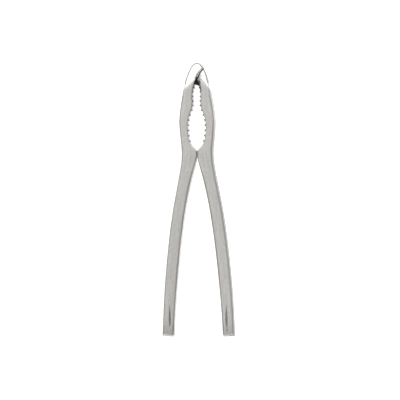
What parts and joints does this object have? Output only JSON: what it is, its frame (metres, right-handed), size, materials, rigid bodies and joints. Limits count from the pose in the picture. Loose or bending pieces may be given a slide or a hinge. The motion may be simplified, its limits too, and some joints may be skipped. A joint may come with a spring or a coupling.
{
  "type": "nutcracker",
  "caption": "Two-lever nutcracker with a top hinge, toothed oval jaws and long bowed handles, all in solid brushed stainless steel.",
  "frame": {"origin": "middle of the closed tool's outline, on the plane its jaws rest on", "axes": "+Y towards the domed tip, +X towards the right arm, +Z out of the front face; the hinge axis is parallel to +Z"},
  "size_m": [0.0508, 0.19, 0.01],
  "materials": {
    "arm_steel": "fine lengthwise brushing on jaws and handles, polished domed head",
    "pin_steel": "ground flush and polished with the head"
  },
  "bodies": {
    "left": {"left_arm": "arm_steel", "hinge_pin": "pin_steel"},
    "right": {"right_arm": "arm_steel"}
  },
  "joints": [
    {"name": "arm_hinge", "type": "hinge", "parent": "left", "child": "right", "pos_m": [-0.0008, 0.0886, 0.005], "axis": [0, 0, 1], "range_deg": [0, 45]}
  ]
}
